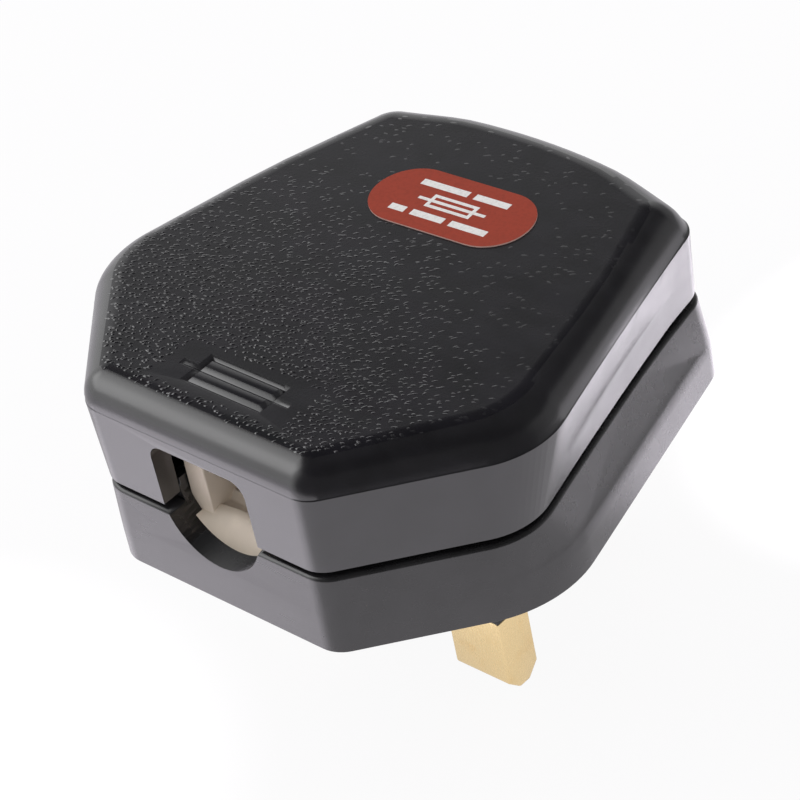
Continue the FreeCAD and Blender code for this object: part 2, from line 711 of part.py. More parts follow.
def make_clips():
    strap_z = (STRAP_TOP + " - clip_wall", STRAP_TOP)
    middle = ("pin_spread - strap_half", "pin_spread + strap_half")
    margin = "(cap_length - clip_width) / 2"
    front = "%s + %s" % (FUSE_FRONT, margin)
    rear = "%s - cap_length + %s" % (FUSE_REAR, margin)
    root = " + clip_width - clip_wall"
    front_strap = block("front_strap", middle, (front + root, "block_width / 2"), strap_z)
    rear_strap = block("rear_strap", middle, (rear + root, LIVE_BLOCK_END), strap_z)
    pad = block("rear_strap_pad", ("live_block_side - live_block_width / 2", "pin_spread"),
                (LIVE_BLOCK_START, LIVE_BLOCK_END), strap_z)
    make_clip("front_fuse_clip", front, [front_strap])
    make_clip("rear_fuse_clip", rear, [rear_strap, pad])


def turned(name, profile_points):
    """A turned piece whose axis lies along the fuse."""
    body = new_body(name)
    profile = new_sketch(body, name + "_profile", plane="XZ_Plane")
    draw_polygon(profile, profile_points)
    add_turning(body, profile)
    body.Placement = FreeCAD.Placement(FreeCAD.Vector(), TURNS["Y"])
    return place(body, "pin_spread", FUSE_FRONT, "fuse_level")


def make_fuse():
    bore = "fuse_round - cap_wall"
    tube_outer = bore + " - close_fit"
    tube_inner = tube_outer + " - tube_wall"
    rear = "fuse_length"
    turned("front_fuse_cap", [
        ("0", "0"), ("fuse_round", "0"), ("fuse_round", "cap_length"),
        (bore, "cap_length"), (bore, "cap_wall"), ("0", "cap_wall"),
    ])
    turned("rear_fuse_cap", [
        ("0", rear), ("fuse_round", rear), ("fuse_round", rear + " - cap_length"),
        (bore, rear + " - cap_length"), (bore, rear + " - cap_wall"), ("0", rear + " - cap_wall"),
    ])
    turned("fuse_tube", [
        (tube_inner, "cap_wall"), (tube_outer, "cap_wall"),
        (tube_outer, rear + " - cap_wall"), (tube_inner, rear + " - cap_wall"),
    ])
    block("fuse_strip", ("pin_spread - strip_width / 2", "pin_spread + strip_width / 2"),
          (FUSE_FRONT + " + cap_wall", FUSE_REAR + " - cap_wall"),
          ("fuse_level - strip_thick / 2", "fuse_level + strip_thick / 2"))


# Cover screw, insert and washer

def make_cover_screw():
    body = new_body("cover_screw")
    profile = new_sketch(body, "cover_screw_profile", plane="XZ_Plane")
    seat = "lock_sink + lock_head_rise"
    draw_polygon(profile, [
        ("0", "lock_sink"), ("lock_head", "lock_sink"), ("lock_head", seat),
        ("lock_shank", seat), ("lock_shank", "lock_end"), ("0", "lock_end"),
    ])
    add_turning(body, profile)
    slot = new_sketch(body, "cover_screw_slot", offset="lock_sink")
    draw_rectangle(slot, "lock_head", "slot_width / 2")
    groove = add_pocket(body, slot, "slot_depth")
    groove.Reversed = True
    return place(body, y="lock_place")


def make_ring(name, inner, outer, low, high):
    body = new_body(name)
    profile = new_sketch(body, name + "_profile", plane="XZ_Plane")
    draw_polygon(profile, [(inner, low), (outer, low), (outer, high), (inner, high)])
    add_turning(body, profile)
    return place(body, y="lock_place")


# Label

def make_label():
    body = new_body("rating_label")
    sketch = new_sketch(body, "label_shape", offset="cover_top")
    reach, radius = value_of("label_half - label_round"), value_of("label_round")
    quarter = math.pi / 2
    for side in (1, -1):
        circle = Part.Circle(FreeCAD.Vector(side * reach, 0, 0), FreeCAD.Vector(0, 0, 1), radius)
        sketch.addGeometry(Part.ArcOfCircle(circle, -side * quarter, (2 - side) * quarter))
    sketch.addGeometry(Part.LineSegment(FreeCAD.Vector(reach, radius, 0), FreeCAD.Vector(-reach, radius, 0)))
    sketch.addGeometry(Part.LineSegment(FreeCAD.Vector(-reach, -radius, 0), FreeCAD.Vector(reach, -radius, 0)))
    for first, second in (((0, 2), (2, 1)), ((2, 2), (1, 1)), ((1, 2), (3, 1)), ((3, 2), (0, 1))):
        sketch.addConstraint(Constraint("Tangent", *first, *second))
    for item, side in ((0, ""), (1, "-")):
        place_point(sketch, item, 3, "X", "%s(label_half - label_round)" % side)
        place_point(sketch, item, 3, "Y", "0")
    number = sketch.addConstraint(Constraint("Radius", 0, radius))
    sketch.setExpression("Constraints[%d]" % number, in_sheet("label_round"))
    add_pad(body, sketch, "label_thick")
    bind(body, Placement__Rotation__Angle="label_turn")
    return place(body, y="label_place")


make_cover()
make_base()
make_cord_grip()
make_live_pin()
make_neutral_pin()
make_earth_pin()
make_sleeve("live_pin_sleeve", "pin_spread")
make_sleeve("neutral_pin_sleeve", "-pin_spread")
make_live_terminal()
make_terminal_screw("neutral_terminal_screw", "-pin_spread", "0", "base_floor + block_rise")
make_terminal_screw("earth_terminal_screw", "0", "earth_place", "base_floor + block_rise")
make_terminal_screw("live_terminal_screw", "live_block_side", LIVE_BLOCK_PLACE,
                    STRAP_TOP + " + live_block_rise")
make_clips()
make_fuse()
make_cover_screw()
make_ring("cover_insert", "lock_shank + close_fit", "insert_round", "base_top", "base_top + insert_length")
make_ring("screw_washer", "lock_shank + close_fit", "washer_round", "base_top - washer_thick", "base_top")
make_label()
doc.recompute()

for item in doc.Objects:
    if "Invalid" in item.State or "Error" in item.State:
        raise RuntimeError("not rebuilt: %s %s" % (item.Label, item.State))
shapes = {}
for node in NODES:
    shape = doc.getObjectsByLabel(node)[0].Shape
    if shape.isNull() or not shape.isValid() or len(shape.Solids) != 1:
        raise RuntimeError("not one valid solid: %s" % node)
    shapes[node] = shape
os.makedirs("parts", exist_ok=True)
for node, shape in shapes.items():
    shape.exportStep("parts/%s.step" % node)
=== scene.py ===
import logging
import math
import random
from dataclasses import dataclass
from enum import Enum
from typing import Iterable, Optional, Sequence, Union

import bmesh
import bpy
from mathutils import Euler, Matrix, Vector
from mathutils.bvhtree import BVHTree


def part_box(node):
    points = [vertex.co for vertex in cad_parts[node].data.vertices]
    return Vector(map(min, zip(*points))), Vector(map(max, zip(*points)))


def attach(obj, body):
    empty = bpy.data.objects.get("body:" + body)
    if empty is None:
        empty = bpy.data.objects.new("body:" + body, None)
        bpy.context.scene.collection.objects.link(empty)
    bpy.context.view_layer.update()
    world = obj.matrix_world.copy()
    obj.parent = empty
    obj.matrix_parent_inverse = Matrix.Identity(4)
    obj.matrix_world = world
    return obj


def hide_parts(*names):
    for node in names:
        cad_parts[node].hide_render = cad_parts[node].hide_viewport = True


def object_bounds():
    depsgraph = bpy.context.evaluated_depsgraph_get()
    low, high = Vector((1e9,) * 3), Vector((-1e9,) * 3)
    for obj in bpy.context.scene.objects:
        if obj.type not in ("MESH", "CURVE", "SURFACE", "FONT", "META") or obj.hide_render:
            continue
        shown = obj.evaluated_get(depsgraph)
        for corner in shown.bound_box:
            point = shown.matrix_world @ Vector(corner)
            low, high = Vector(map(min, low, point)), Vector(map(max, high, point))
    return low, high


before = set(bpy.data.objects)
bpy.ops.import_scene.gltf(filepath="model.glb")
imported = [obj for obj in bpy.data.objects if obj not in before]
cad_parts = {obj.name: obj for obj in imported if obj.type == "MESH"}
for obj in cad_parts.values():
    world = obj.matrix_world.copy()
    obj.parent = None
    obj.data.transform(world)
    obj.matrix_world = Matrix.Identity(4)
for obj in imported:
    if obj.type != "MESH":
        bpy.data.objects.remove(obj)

CAD_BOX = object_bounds()
ROOT = "root"
LOG = logging.getLogger("three_pin_plug")
UP = Vector((0.0, 0.0, 1.0))
MM = 0.001
# How close counts as the same place, as the same height and as lying on a rim.
HAIR = MM / 1000
TOUCH = MM / 100
NEAR = MM / 20
# Faces that meet at less than this angle are joined to one.
FLAT = math.radians(0.05)
# How far a shell's wall leans, which way its flat front looks, and how its rungs are put in order.
BAND_TILT = 0.45
BAND_FRONT = -0.999
RUNG_SLACK = 0.045
RUNG_TURNS = 400
# Cells along each side of the grid that the fuse sign is laid out on.
SIGN_CELLS = 5
# How many times longer than wide the marks of a drawn finish are, and how rough every noise is.
DRAWN = 8.0
NOISE_ROUGHNESS = 0.55

Colour = tuple[float, float, float]
Span = tuple[float, float]
Part = Union[bmesh.types.BMFace, bmesh.types.BMEdge, bmesh.types.BMVert]
Value = Union[float, Sequence[float], bpy.types.NodeSocket]


class Slot(Enum):
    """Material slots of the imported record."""

    COVER = "cover_plastic"
    BASE = "base_plastic"
    GRIP = "grip_nylon"
    PIN = "pin_brass"
    LABEL = "label_film"


class Along(Enum):
    """Directions along which a finish can be drawn out."""

    X = (DRAWN, 1.0, 1.0)
    Y = (1.0, DRAWN, 1.0)
    Z = (1.0, 1.0, DRAWN)
    NONE = (1.0, 1.0, 1.0)


# Materials


class Nodes:
    """A node tree and the few nodes that it is built from."""

    def __init__(self, tree: bpy.types.NodeTree) -> None:
        """Take hold of a tree."""
        self.tree = tree

    def add(self, kind: str, inputs: Optional[dict] = None, **settings: object) -> bpy.types.Node:
        """Add a node.

        Args:
            kind: Type name of the node.
            inputs: Values or sockets for its inputs, by name or number.
            settings: Properties of the node.

        Returns:
            The new node.
        """
        node = self.tree.nodes.new(kind)
        for name, value in settings.items():
            setattr(node, name, value)
        for key, value in (inputs or {}).items():
            self.feed(node.inputs[key], value)
        return node

    def feed(self, socket: bpy.types.NodeSocket, value: Value) -> None:
        """Set a socket to a value or link another socket to it.

        Args:
            socket: The input to feed.
            value: A number, a colour or an output socket.
        """
        if isinstance(value, bpy.types.NodeSocket):
            self.tree.links.new(value, socket)
        elif isinstance(socket, bpy.types.NodeSocketColor) and len(value) == 3:
            socket.default_value = (*value, 1.0)
        else:
            socket.default_value = value

    def math(self, operation: str, first: Value, second: Value) -> bpy.types.NodeSocket:
        """Work out one number from two."""
        return self.add("ShaderNodeMath", {0: first, 1: second}, operation=operation).outputs[0]

    def dot(self, first: Value, second: Value) -> bpy.types.NodeSocket:
        """Work out how far one direction points along another."""
        return self.add("ShaderNodeVectorMath", {0: first, 1: second}, operation="DOT_PRODUCT").outputs["Value"]

    def range(self, value: Value, span: Span, start: float = 0.0, end: float = 1.0) -> bpy.types.NodeSocket:
        """Map a number smoothly from one range to another, held at both ends.

        Args:
            value: The number.
            span: Lower and upper end of its range.
            start: Result at the lower end.
            end: Result at the upper end.

        Returns:
            The mapped number.
        """
        low, high = span
        inputs = {"Value": value, "From Min": low, "From Max": high, "To Min": start, "To Max": end}
        return self.add("ShaderNodeMapRange", inputs, interpolation_type="SMOOTHSTEP").outputs["Result"]

    def blend(self, share: Value, first: Value, second: Value) -> bpy.types.NodeSocket:
        """Blend two colours.

        Args:
            share: Share of the second colour.
            first: First colour.
            second: Second colour.

        Returns:
            The blended colour.
        """
        node = self.add("ShaderNodeMix", data_type="RGBA")
        for socket, value in ((node.inputs[0], share), (node.inputs[6], first), (node.inputs[7], second)):
            self.feed(socket, value)
        return node.outputs[2]

    def seen(self, camera: float, gloss: float) -> bpy.types.NodeSocket:
        """Tell rays that show the background from rays that only light the plug.

        Args:
            camera: Result for rays of the camera.
            gloss: Result for rays of gloss and of transmission.

        Returns:
            The result, 0 for other rays.
        """
        path = self.add("ShaderNodeLightPath").outputs
        mirrored = self.math("MAXIMUM", path["Is Glossy Ray"], path["Is Transmission Ray"])
        shown = self.math("MULTIPLY", path["Is Camera Ray"], camera)
        return self.math("MAXIMUM", shown, self.math("MULTIPLY", mirrored, gloss))


class Shader(Nodes):
    """A node material with one principled surface, read on object coordinates."""

    def __init__(self, name: str) -> None:
        """Start an empty material.

        Args:
            name: Name of the material.
        """
        self.material = bpy.data.materials.new(name)
        self.material.use_nodes = True
        super().__init__(self.material.node_tree)
        self.surface = self.tree.nodes["Principled BSDF"]
        self.place = self.add("ShaderNodeTexCoord").outputs["Object"]

    def set(self, **sockets: Value) -> None:
        """Feed inputs of the surface, with underscores for the spaces in their names."""
        for name, value in sockets.items():
            self.feed(self.surface.inputs[name.replace("_", " ")], value)

    def stretched(self, along: Along) -> bpy.types.NodeSocket:
        """Object coordinates drawn out along one axis."""
        scale = tuple(1.0 / part for part in along.value)
        return self.add("ShaderNodeMapping", {"Vector": self.place, "Scale": scale}).outputs["Vector"]

    def noise(self, size: float, detail: float = 3.0, along: Along = Along.NONE) -> bpy.types.NodeSocket:
        """Soft noise.

        Args:
            size: Size of its lumps in millimetres.
            detail: Octaves of detail.
            along: Axis along which it is drawn out.

        Returns:
            Its height from 0 to 1.
        """
        where = self.place if along is Along.NONE else self.stretched(along)
        inputs = {"Vector": where, "Scale": 1.0 / (size * MM), "Detail": detail, "Roughness": NOISE_ROUGHNESS}
        return self.add("ShaderNodeTexNoise", inputs).outputs["Fac"]

    def bump(self, height: Value, rise: float) -> bpy.types.NodeSocket:
        """Tilt the surface by a height from 0 to 1, whose full rise is in millimetres."""
        inputs = {"Height": height, "Distance": rise * MM, "Strength": 1.0}
        return self.add("ShaderNodeBump", inputs).outputs["Normal"]


@dataclass(frozen=True)
class MouldedPlastic:
    """Moulded plastic with a fine skin, faint flow marks and pale scuffs."""

    name: str
    colour: Colour
    roughness: float
    ior: float
    skin_size: float = 0.16
    skin_rise: float = 0.004
    cloud_size: float = 4.0
    mottle: float = 0.2
    flow_size: float = 2.2
    flow_play: float = 0.02
    scuff: float = 0.0
    scuff_size: float = 9.0
    stroke_size: float = 0.5
    scuff_colour: Colour = (0.2, 0.2, 0.2)

    def material(self) -> bpy.types.Material:
        """Build the node material."""
        shader = Shader(self.name)
        cloud = shader.noise(self.cloud_size, 4.0)
        skin = shader.noise(self.skin_size, 2.0)
        flow = shader.noise(self.flow_size, 3.0, Along.X)
        deep = tuple((1.0 - self.mottle) * part for part in self.colour)
        pale = tuple((1.0 + self.mottle) * part for part in self.colour)
        colour = shader.blend(shader.range(cloud, (0.35, 0.65)), deep, pale)
        rough = shader.range(flow, (0.3, 0.7), self.roughness - self.flow_play, self.roughness + self.flow_play)
        if self.scuff:
            patches = shader.range(shader.noise(self.scuff_size, 2.0), (0.56, 0.7))
            strokes = shader.range(shader.noise(self.stroke_size, 4.0, Along.X), (0.52, 0.72), 0.0, self.scuff)
            wear = shader.math("MULTIPLY", patches, strokes)
            colour = shader.blend(wear, colour, self.scuff_colour)
        shader.set(Base_Color=colour, Roughness=rough, IOR=self.ior, Normal=shader.bump(skin, self.skin_rise))
        return shader.material


@dataclass(frozen=True)
class DrawnMetal:
    """Metal with lines left by drawing, rolling or turning, and a little tarnish."""

    name: str
    colour: Colour
    tarnish: Colour
    roughness: float
    along: Along
    line_size: float = 0.12
    line_rise: float = 0.002
    line_play: Span = (-0.06, 0.1)
    cloud_size: float = 2.5
    tarnish_share: float = 0.8

    def material(self) -> bpy.types.Material:
        """Build the node material."""
        shader = Shader(self.name)
        lines = shader.noise(self.line_size, 2.0, self.along)
        cloud = shader.noise(self.cloud_size, 5.0)
        dull = shader.range(cloud, (0.5, 0.75), 0.0, self.tarnish_share)
        smooth, rough = (self.roughness + play for play in self.line_play)
        shader.set(Base_Color=shader.blend(dull, self.colour, self.tarnish), Metallic=1.0)
        shader.set(Roughness=shader.range(lines, (0.3, 0.7), smooth, rough))
        shader.set(Normal=shader.bump(lines, self.line_rise))
        return shader.material


@dataclass(frozen=True)
class DryMatter:
    """Unglazed or pressed matter with a speckled, slightly rough skin."""

    name: str
    colour: Colour
    speck: Colour
    roughness: float
    grain: float = 0.25
    rise: float = 0.01

    def material(self) -> bpy.types.Material:
        """Build the node material."""
        shader = Shader(self.name)
        specks = shader.noise(self.grain, 4.0)
        colour = shader.blend(shader.range(specks, (0.5, 0.68)), self.colour, self.speck)
        shader.set(Base_Color=colour, Roughness=self.roughness, Normal=shader.bump(specks, self.rise))
        return shader.material


@dataclass(frozen=True)
class PrintedFilm:
    """Thin film with a pale die-cut edge."""

    name: str
    colour: Colour
    edge: Colour
    roughness: float = 0.5
    ior: float = 1.35
    fibre_size: float = 0.3
    fibre_rise: float = 0.003
    fibre_shade: float = 0.86

    def material(self) -> bpy.types.Material:
        """Build the node material."""
        shader = Shader(self.name)
        fibre = shader.noise(self.fibre_size, 3.0)
        upright = shader.add("ShaderNodeNewGeometry").outputs["Normal"]
        level = shader.add("ShaderNodeSeparateXYZ", {0: upright}).outputs["Z"]
        shaded = tuple(self.fibre_shade * part for part in self.colour)
        face = shader.blend(shader.range(fibre, (0.4, 0.7)), self.colour, shaded)
        shader.set(Base_Color=shader.blend(shader.range(level, (0.2, 0.8)), self.edge, face))
        shader.set(Roughness=self.roughness, IOR=self.ior, Normal=shader.bump(fibre, self.fibre_rise))
        return shader.material


Finish = Union[MouldedPlastic, DrawnMetal, DryMatter, PrintedFilm]


class Finishes:
    """Every finish of the plug."""

    COVER_SIDE = MouldedPlastic("cover_satin", (0.0115, 0.0108, 0.0135), 0.25, 1.9)
    COVER_TOP = MouldedPlastic("cover_top", (0.0095, 0.0088, 0.0118), 0.26, 1.42, skin_size=0.3, skin_rise=0.004)
    GRAIN = MouldedPlastic("cover_grain", (0.013, 0.0122, 0.0155), 0.2, 2.0, skin_size=0.2, skin_rise=0.002)
    BASE = MouldedPlastic("base_satin", (0.015, 0.0145, 0.0158), 0.27, 1.78, skin_rise=0.002, scuff=0.04)
    SLEEVE = MouldedPlastic("sleeve_satin", (0.018, 0.018, 0.02), 0.4, 1.5)
    GRIP = MouldedPlastic("cream_nylon", (0.74, 0.64, 0.53), 0.5, 1.5, skin_rise=0.003, mottle=0.05)
    PIN = DrawnMetal("bright_brass", (1.0, 0.78, 0.42), (0.96, 0.7, 0.34), 0.22, Along.Z, line_rise=0.0003)
    CLIP = DrawnMetal("rolled_brass", (0.86, 0.62, 0.3), (0.6, 0.4, 0.18), 0.34, Along.Y)
    SCREW = DrawnMetal("plated_steel", (0.7, 0.7, 0.68), (0.5, 0.49, 0.46), 0.3, Along.X)
    CAP = DrawnMetal("plated_cap", (0.76, 0.74, 0.7), (0.6, 0.57, 0.5), 0.25, Along.Y)
    CERAMIC = DryMatter("unglazed_ceramic", (0.8, 0.77, 0.68), (0.62, 0.58, 0.5), 0.65)
    FIBRE = DryMatter("pressed_fibre", (0.36, 0.1, 0.06), (0.22, 0.06, 0.04), 0.8)
    LABEL = PrintedFilm("red_film", (0.35, 0.04, 0.016), (0.7, 0.45, 0.4))
    INK = PrintedFilm("white_ink", (0.85, 0.83, 0.82), (0.85, 0.83, 0.82))


# Meshes


def mesh_of(name: str, shape: bmesh.types.BMesh) -> bpy.types.Mesh:
    """Turn a bmesh into a mesh and free it.

    Args:
        name: Name of the mesh.
        shape: The bmesh.

    Returns:
        The mesh.
    """
    mesh = bpy.data.meshes.new(name)
    shape.to_mesh(mesh)
    shape.free()
    return mesh


def placed(name: str, data: bpy.types.ID) -> bpy.types.Object:
    """Put a mesh, lamp or camera into the scene.

    Args:
        name: Name of the object.
        data: The mesh, lamp or camera.

    Returns:
        The object, at the origin.
    """
    thing = bpy.data.objects.new(name, data)
    bpy.context.scene.collection.objects.link(thing)
    return thing


def finished(name: str, shape: bmesh.types.BMesh, finishes: Iterable[bpy.types.Material],
             sharp: float = 30.0) -> bpy.types.Object:
    """Turn a bmesh into a piece of the plug.

    Args:
        name: Name of the piece.
        shape: Its shape, which is freed.
        finishes: Its materials, in the order of the faces' material numbers.
        sharp: Angle in degrees above which an edge stays crisp.

    Returns:
        The piece, riding on the plug.
    """
    mesh = mesh_of(name, shape)
    for finish in finishes:
        mesh.materials.append(finish)
    mesh.polygons.foreach_set("use_smooth", [True] * len(mesh.polygons))
    mesh.set_sharp_from_angle(angle=math.radians(sharp))
    piece = placed(name, mesh)
    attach(piece, ROOT)
    LOG.info("%s: %d faces", name, len(mesh.polygons))
    return piece


def flat_faces_first(piece: bpy.types.Object) -> None:
    """Let the large flat faces of a piece lead the shading of its rounds."""
    smooth = piece.modifiers.new("flat_faces_first", "WEIGHTED_NORMAL")
    smooth.keep_sharp = True


def copy_of_node(node: str) -> bmesh.types.BMesh:
    """Copy a CAD node with its loose corners merged and its flat faces joined.

    Args:
        node: Name of the node.

    Returns:
        The copy.
    """
    shape = bmesh.new()
    shape.from_mesh(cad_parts[node].data)
    bmesh.ops.remove_doubles(shape, verts=shape.verts, dist=HAIR)
    bmesh.ops.dissolve_limit(shape, angle_limit=FLAT, verts=shape.verts, edges=shape.edges)
    return shape


def bar(shape: bmesh.types.BMesh, low: Vector, high: Vector) -> None:
    """Add a plain bar between two opposite corners to a shape."""
    place = Matrix.Translation((low + high) / 2) @ Matrix.Diagonal((*(high - low), 1.0))
    bmesh.ops.create_cube(shape, size=1.0, matrix=place)


def outside(shape: bmesh.types.BMesh, faces: Iterable[bmesh.types.BMFace]) -> list[bmesh.types.BMFace]:
    """Pick the faces that look away from the rest of the shape.

    Args:
        shape: The shape.
        faces: Faces to choose from.

    Returns:
        Those with nothing of the shape before them.
    """
    tree = BVHTree.FromBMesh(shape)
    clear = []
    for face in faces:
        start = face.calc_center_median() + face.normal * (2 * TOUCH)
        if tree.ray_cast(start, face.normal)[0] is None:
            clear.append(face)
    return clear


def parts_of(faces: Iterable[bmesh.types.BMFace]) -> list[Part]:
    """List faces with their edges and corners, each once and in a fixed order."""
    return list(dict.fromkeys(part for face in faces for part in (face, *face.edges, *face.verts)))


def corners_in(parts: Iterable[Part]) -> list[bmesh.types.BMVert]:
    """Pick the corners out of mixed parts of a shape."""
    return [part for part in parts if isinstance(part, bmesh.types.BMVert)]


def soften(shape: bmesh.types.BMesh, edges: Sequence[bmesh.types.BMEdge], width: float, segments: int) -> None:
    """Round edges of a shape by a width on each side, with so many faces across."""
    bmesh.ops.bevel(shape, geom=edges, offset=width, offset_type="OFFSET", segments=segments, profile=0.5,
                    affect="EDGES", clamp_overlap=True, material=-1)


def push_out(place: Vector, corner: Vector, reach: float, push: float) -> Vector:
    """Work out a move that makes a rounded upright corner fuller.

    Args:
        place: A point of the shape.
        corner: The corner in plan, on the live side.
        reach: Distance within which points move.
        push: Move at the corner.

    Returns:
        The move, away from the middle of the shape.
    """
    side = Vector((math.copysign(corner.x, place.x), corner.y))
    share = max(1.0 - ((place.xy - side).length / reach) ** 2, 0.0)
    return Vector((*side.normalized(), 0.0)) * (push * share)


def edges_at(faces: Sequence[bmesh.types.BMFace], level: float) -> list[bmesh.types.BMEdge]:
    """Pick the edges of some faces whose two ends lie at one height."""
    edges = dict.fromkeys(edge for face in faces for edge in face.edges)
    return [edge for edge in edges if all(abs(corner.co.z - level) < TOUCH for corner in edge.verts)]


def is_late(edge: bmesh.types.BMEdge, low: float, high: float, middle: Vector) -> bool:
    """Tell whether a rung of a wall band parts two facets that stand in the wrong order round the outline.

    Args:
        edge: An edge of the shell.
        low: Height of the band's lower rim.
        high: Height of its upper rim.
        middle: Middle of the outline.

    Returns:
        True for a rung that has to turn.
    """
    foot, head = sorted(edge.verts, key=lambda corner: corner.co.z)
    others = [corner for face in edge.link_faces if len(face.verts) == 3
              for corner in face.verts if corner not in edge.verts]
    if abs(foot.co.z - low) > NEAR or abs(head.co.z - high) > NEAR or len(others) != 2:
        return False
    lower, upper = sorted(others, key=lambda corner: corner.co.z)
    if upper.co.z - lower.co.z < MM:
        return False
    below, above = (foot.co - lower.co).xy.normalized(), (upper.co - head.co).xy.normalized()
    return math.copysign(1.0, (head.co.xy - middle).cross(above)) * below.cross(above) < -RUNG_SLACK


def relay_band(shape: bmesh.types.BMesh, low: float, high: float) -> None:
    """Lay the outer wall between two rims again as one clean band, but for the flat front.

    Args:
        shape: The shell.
        low: Height of the lower rim.
        high: Height of the upper rim.
    """
    middle = ((Vector(CAD_BOX[0]) + Vector(CAD_BOX[1])) / 2).xy
    walls = []
    for face in shape.faces:
        centre = face.calc_center_median()
        upright = abs(face.normal.z) < BAND_TILT and face.normal.y > BAND_FRONT
        if upright and low < centre.z < high and face.normal.xy.dot(centre.xy - middle) > 0.0:
            walls.append(face)
    bmesh.ops.delete(shape, geom=outside(shape, walls), context="FACES")
    torn = dict.fromkeys(corner for edge in shape.edges if edge.is_boundary for corner in edge.verts)
    between = [corner for corner in torn if low + NEAR < corner.co.z < high - NEAR]
    bmesh.ops.dissolve_verts(shape, verts=between)
    level = [edge for edge in shape.edges if edge.is_boundary and abs(edge.verts[0].co.z - edge.verts[1].co.z) < MM]
    bmesh.ops.bridge_loops(shape, edges=level)
    for _ in range(RUNG_TURNS):
        late = next((edge for edge in shape.edges if is_late(edge, low, high, middle)), None)
        if late is None:
            break
        bmesh.ops.rotate_edges(shape, edges=[late])


@dataclass
class FuseSign:
    """The plain sign for a fuse: a box with a line through it."""

    middle: Vector
    box_length: float
    box_width: float
    line_length: float
    stroke: float

    def flat(self, level: float) -> bmesh.types.BMesh:
        """Lay out the sign's strokes as one flat sheet that faces up.

        Args:
            level: Height of the sheet.

        Returns:
            The sheet.
        """
        x, y, half = self.box_length / 2, self.box_width / 2, self.stroke / 2
        columns = (-self.line_length / 2, -x - half, -x + half, x - half, x + half, self.line_length / 2)
        rows = (-y - half, -y + half, -half, half, y - half, y + half)
        sheet = bmesh.new()
        bmesh.ops.create_grid(sheet, x_segments=SIGN_CELLS, y_segments=SIGN_CELLS, size=SIGN_CELLS / 2)
        bare = []
        for face in sheet.faces:
            column, row = (int(part + SIGN_CELLS / 2) for part in face.calc_center_median().xy)
            on_box = column in (1, 3) or (row in (0, 4) and column == 2)
            if not on_box and row != 2:
                bare.append(face)
        for corner in sheet.verts:
            column, row = (round(part + SIGN_CELLS / 2) for part in corner.co.xy)
            corner.co = Vector((self.middle.x + columns[column], self.middle.y + rows[row], level))
        bmesh.ops.delete(sheet, geom=bare, context="FACES")
        return sheet


